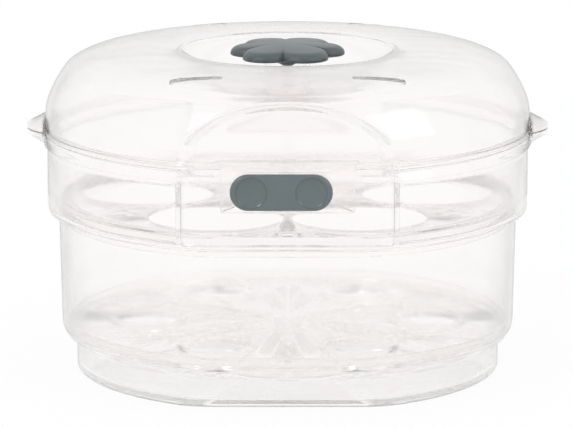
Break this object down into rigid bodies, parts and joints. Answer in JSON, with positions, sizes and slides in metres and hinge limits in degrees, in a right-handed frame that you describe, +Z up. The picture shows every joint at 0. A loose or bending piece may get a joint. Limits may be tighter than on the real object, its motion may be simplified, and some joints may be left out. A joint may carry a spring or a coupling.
{
  "type": "microwave bottle sterilizer",
  "caption": "Clear plastic microwave steam sterilizer: round water bowl with flat front and back, bottle rack, upper tray with large bottle openings, domed lid with a slide latch and a lobed badge.",
  "frame": {"origin": "middle of the foot's underside, under the centre of the bowl", "axes": "+Z up, -Y towards the front latch, +X to the right seen from the front"},
  "size_m": [0.28, 0.2394, 0.1759],
  "materials": {
    "clear_plastic": "clear moulded polypropylene, slightly hazy, smooth",
    "slate_plastic": "slate grey moulded plastic, satin"
  },
  "bodies": {
    "bowl": {"base_bowl": "clear_plastic"},
    "rack": {"bottle_rack": "clear_plastic"},
    "tray": {"upper_tray": "clear_plastic"},
    "lid": {"lid": "clear_plastic", "lid_badge": "slate_plastic"},
    "latch": {"slide_button": "slate_plastic", "catch_plate": "slate_plastic"}
  },
  "joints": [
    {"name": "rack_lift", "type": "slide", "parent": "bowl", "child": "rack", "axis": [0, 0, 1], "range_m": [0, 0.053]},
    {"name": "tray_lift", "type": "slide", "parent": "bowl", "child": "tray", "axis": [0, 0, 1], "range_m": [0, 0.12]},
    {"name": "lid_lift", "type": "slide", "parent": "tray", "child": "lid", "axis": [0, 0, 1], "range_m": [0, 0.1]},
    {"name": "latch_slide", "type": "slide", "parent": "lid", "child": "latch", "axis": [1, 0, 0], "range_m": [0, 0.0065]}
  ]
}
